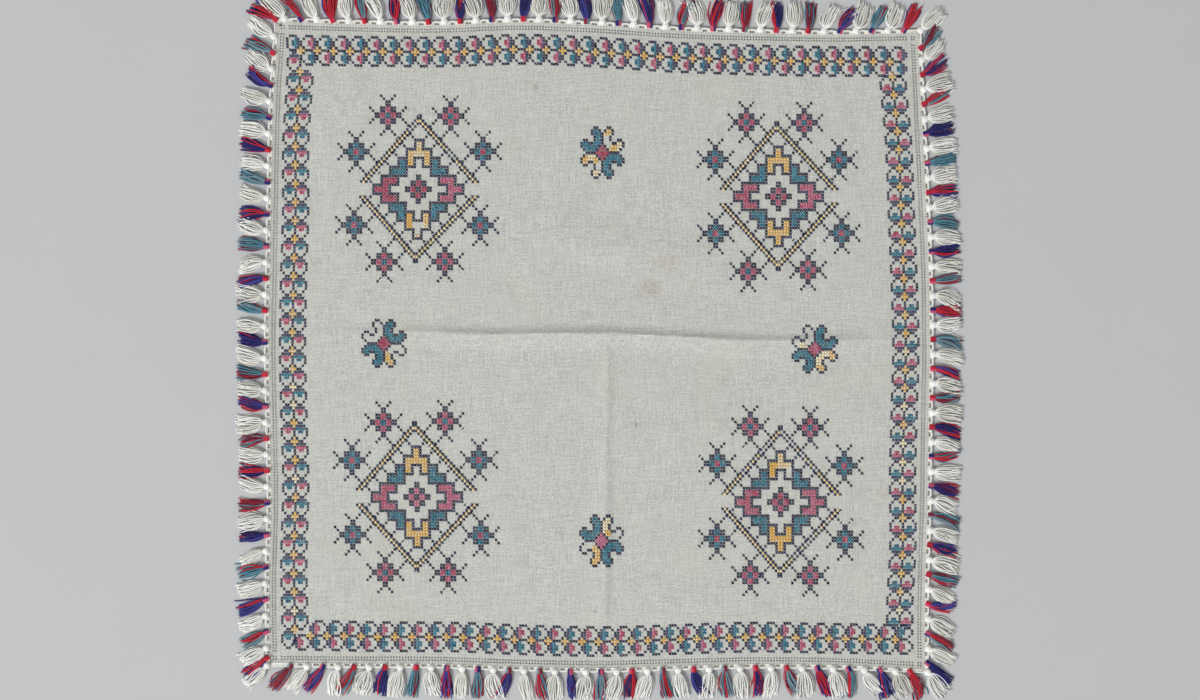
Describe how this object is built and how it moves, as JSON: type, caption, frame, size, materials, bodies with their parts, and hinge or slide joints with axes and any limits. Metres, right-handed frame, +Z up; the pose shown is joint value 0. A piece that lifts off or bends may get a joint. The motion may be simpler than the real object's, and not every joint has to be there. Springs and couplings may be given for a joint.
{
  "type": "embroidered handkerchief",
  "caption": "Square cotton handkerchief laid out flat, with cross-stitch medallions, flowers and a border, a hemstitched edge, crocheted edging and white and coloured yarn tassels.",
  "frame": {"origin": "on the surface that it lies on, under the middle of the whole piece, tassels included", "axes": "+Z up out of the face of the cloth, +Y towards the top side and +X towards the right side as seen from above"},
  "size_m": [0.559, 0.5468, 0.0043],
  "materials": {
    "cotton_cloth": "off-white slubby plain weave cotton, unbleached, with a few faint stains",
    "white_yarn": "white cotton yarn, soft twist, crocheted and tied",
    "navy_thread": "stranded embroidery cotton, slight sheen",
    "teal_thread": "stranded embroidery cotton, slight sheen",
    "pink_thread": "stranded embroidery cotton, slight sheen",
    "yellow_thread": "stranded embroidery cotton, slight sheen",
    "straw_thread": "faded yellow stranded embroidery cotton",
    "coloured_yarn": "dyed cotton yarn in red, dark blue, teal and crimson"
  },
  "bodies": {
    "root": {"cloth": "cotton_cloth", "trim_top": "white_yarn", "trim_right": "white_yarn", "trim_bottom": "white_yarn", "trim_left": "white_yarn"}
  },
  "joints": []
}
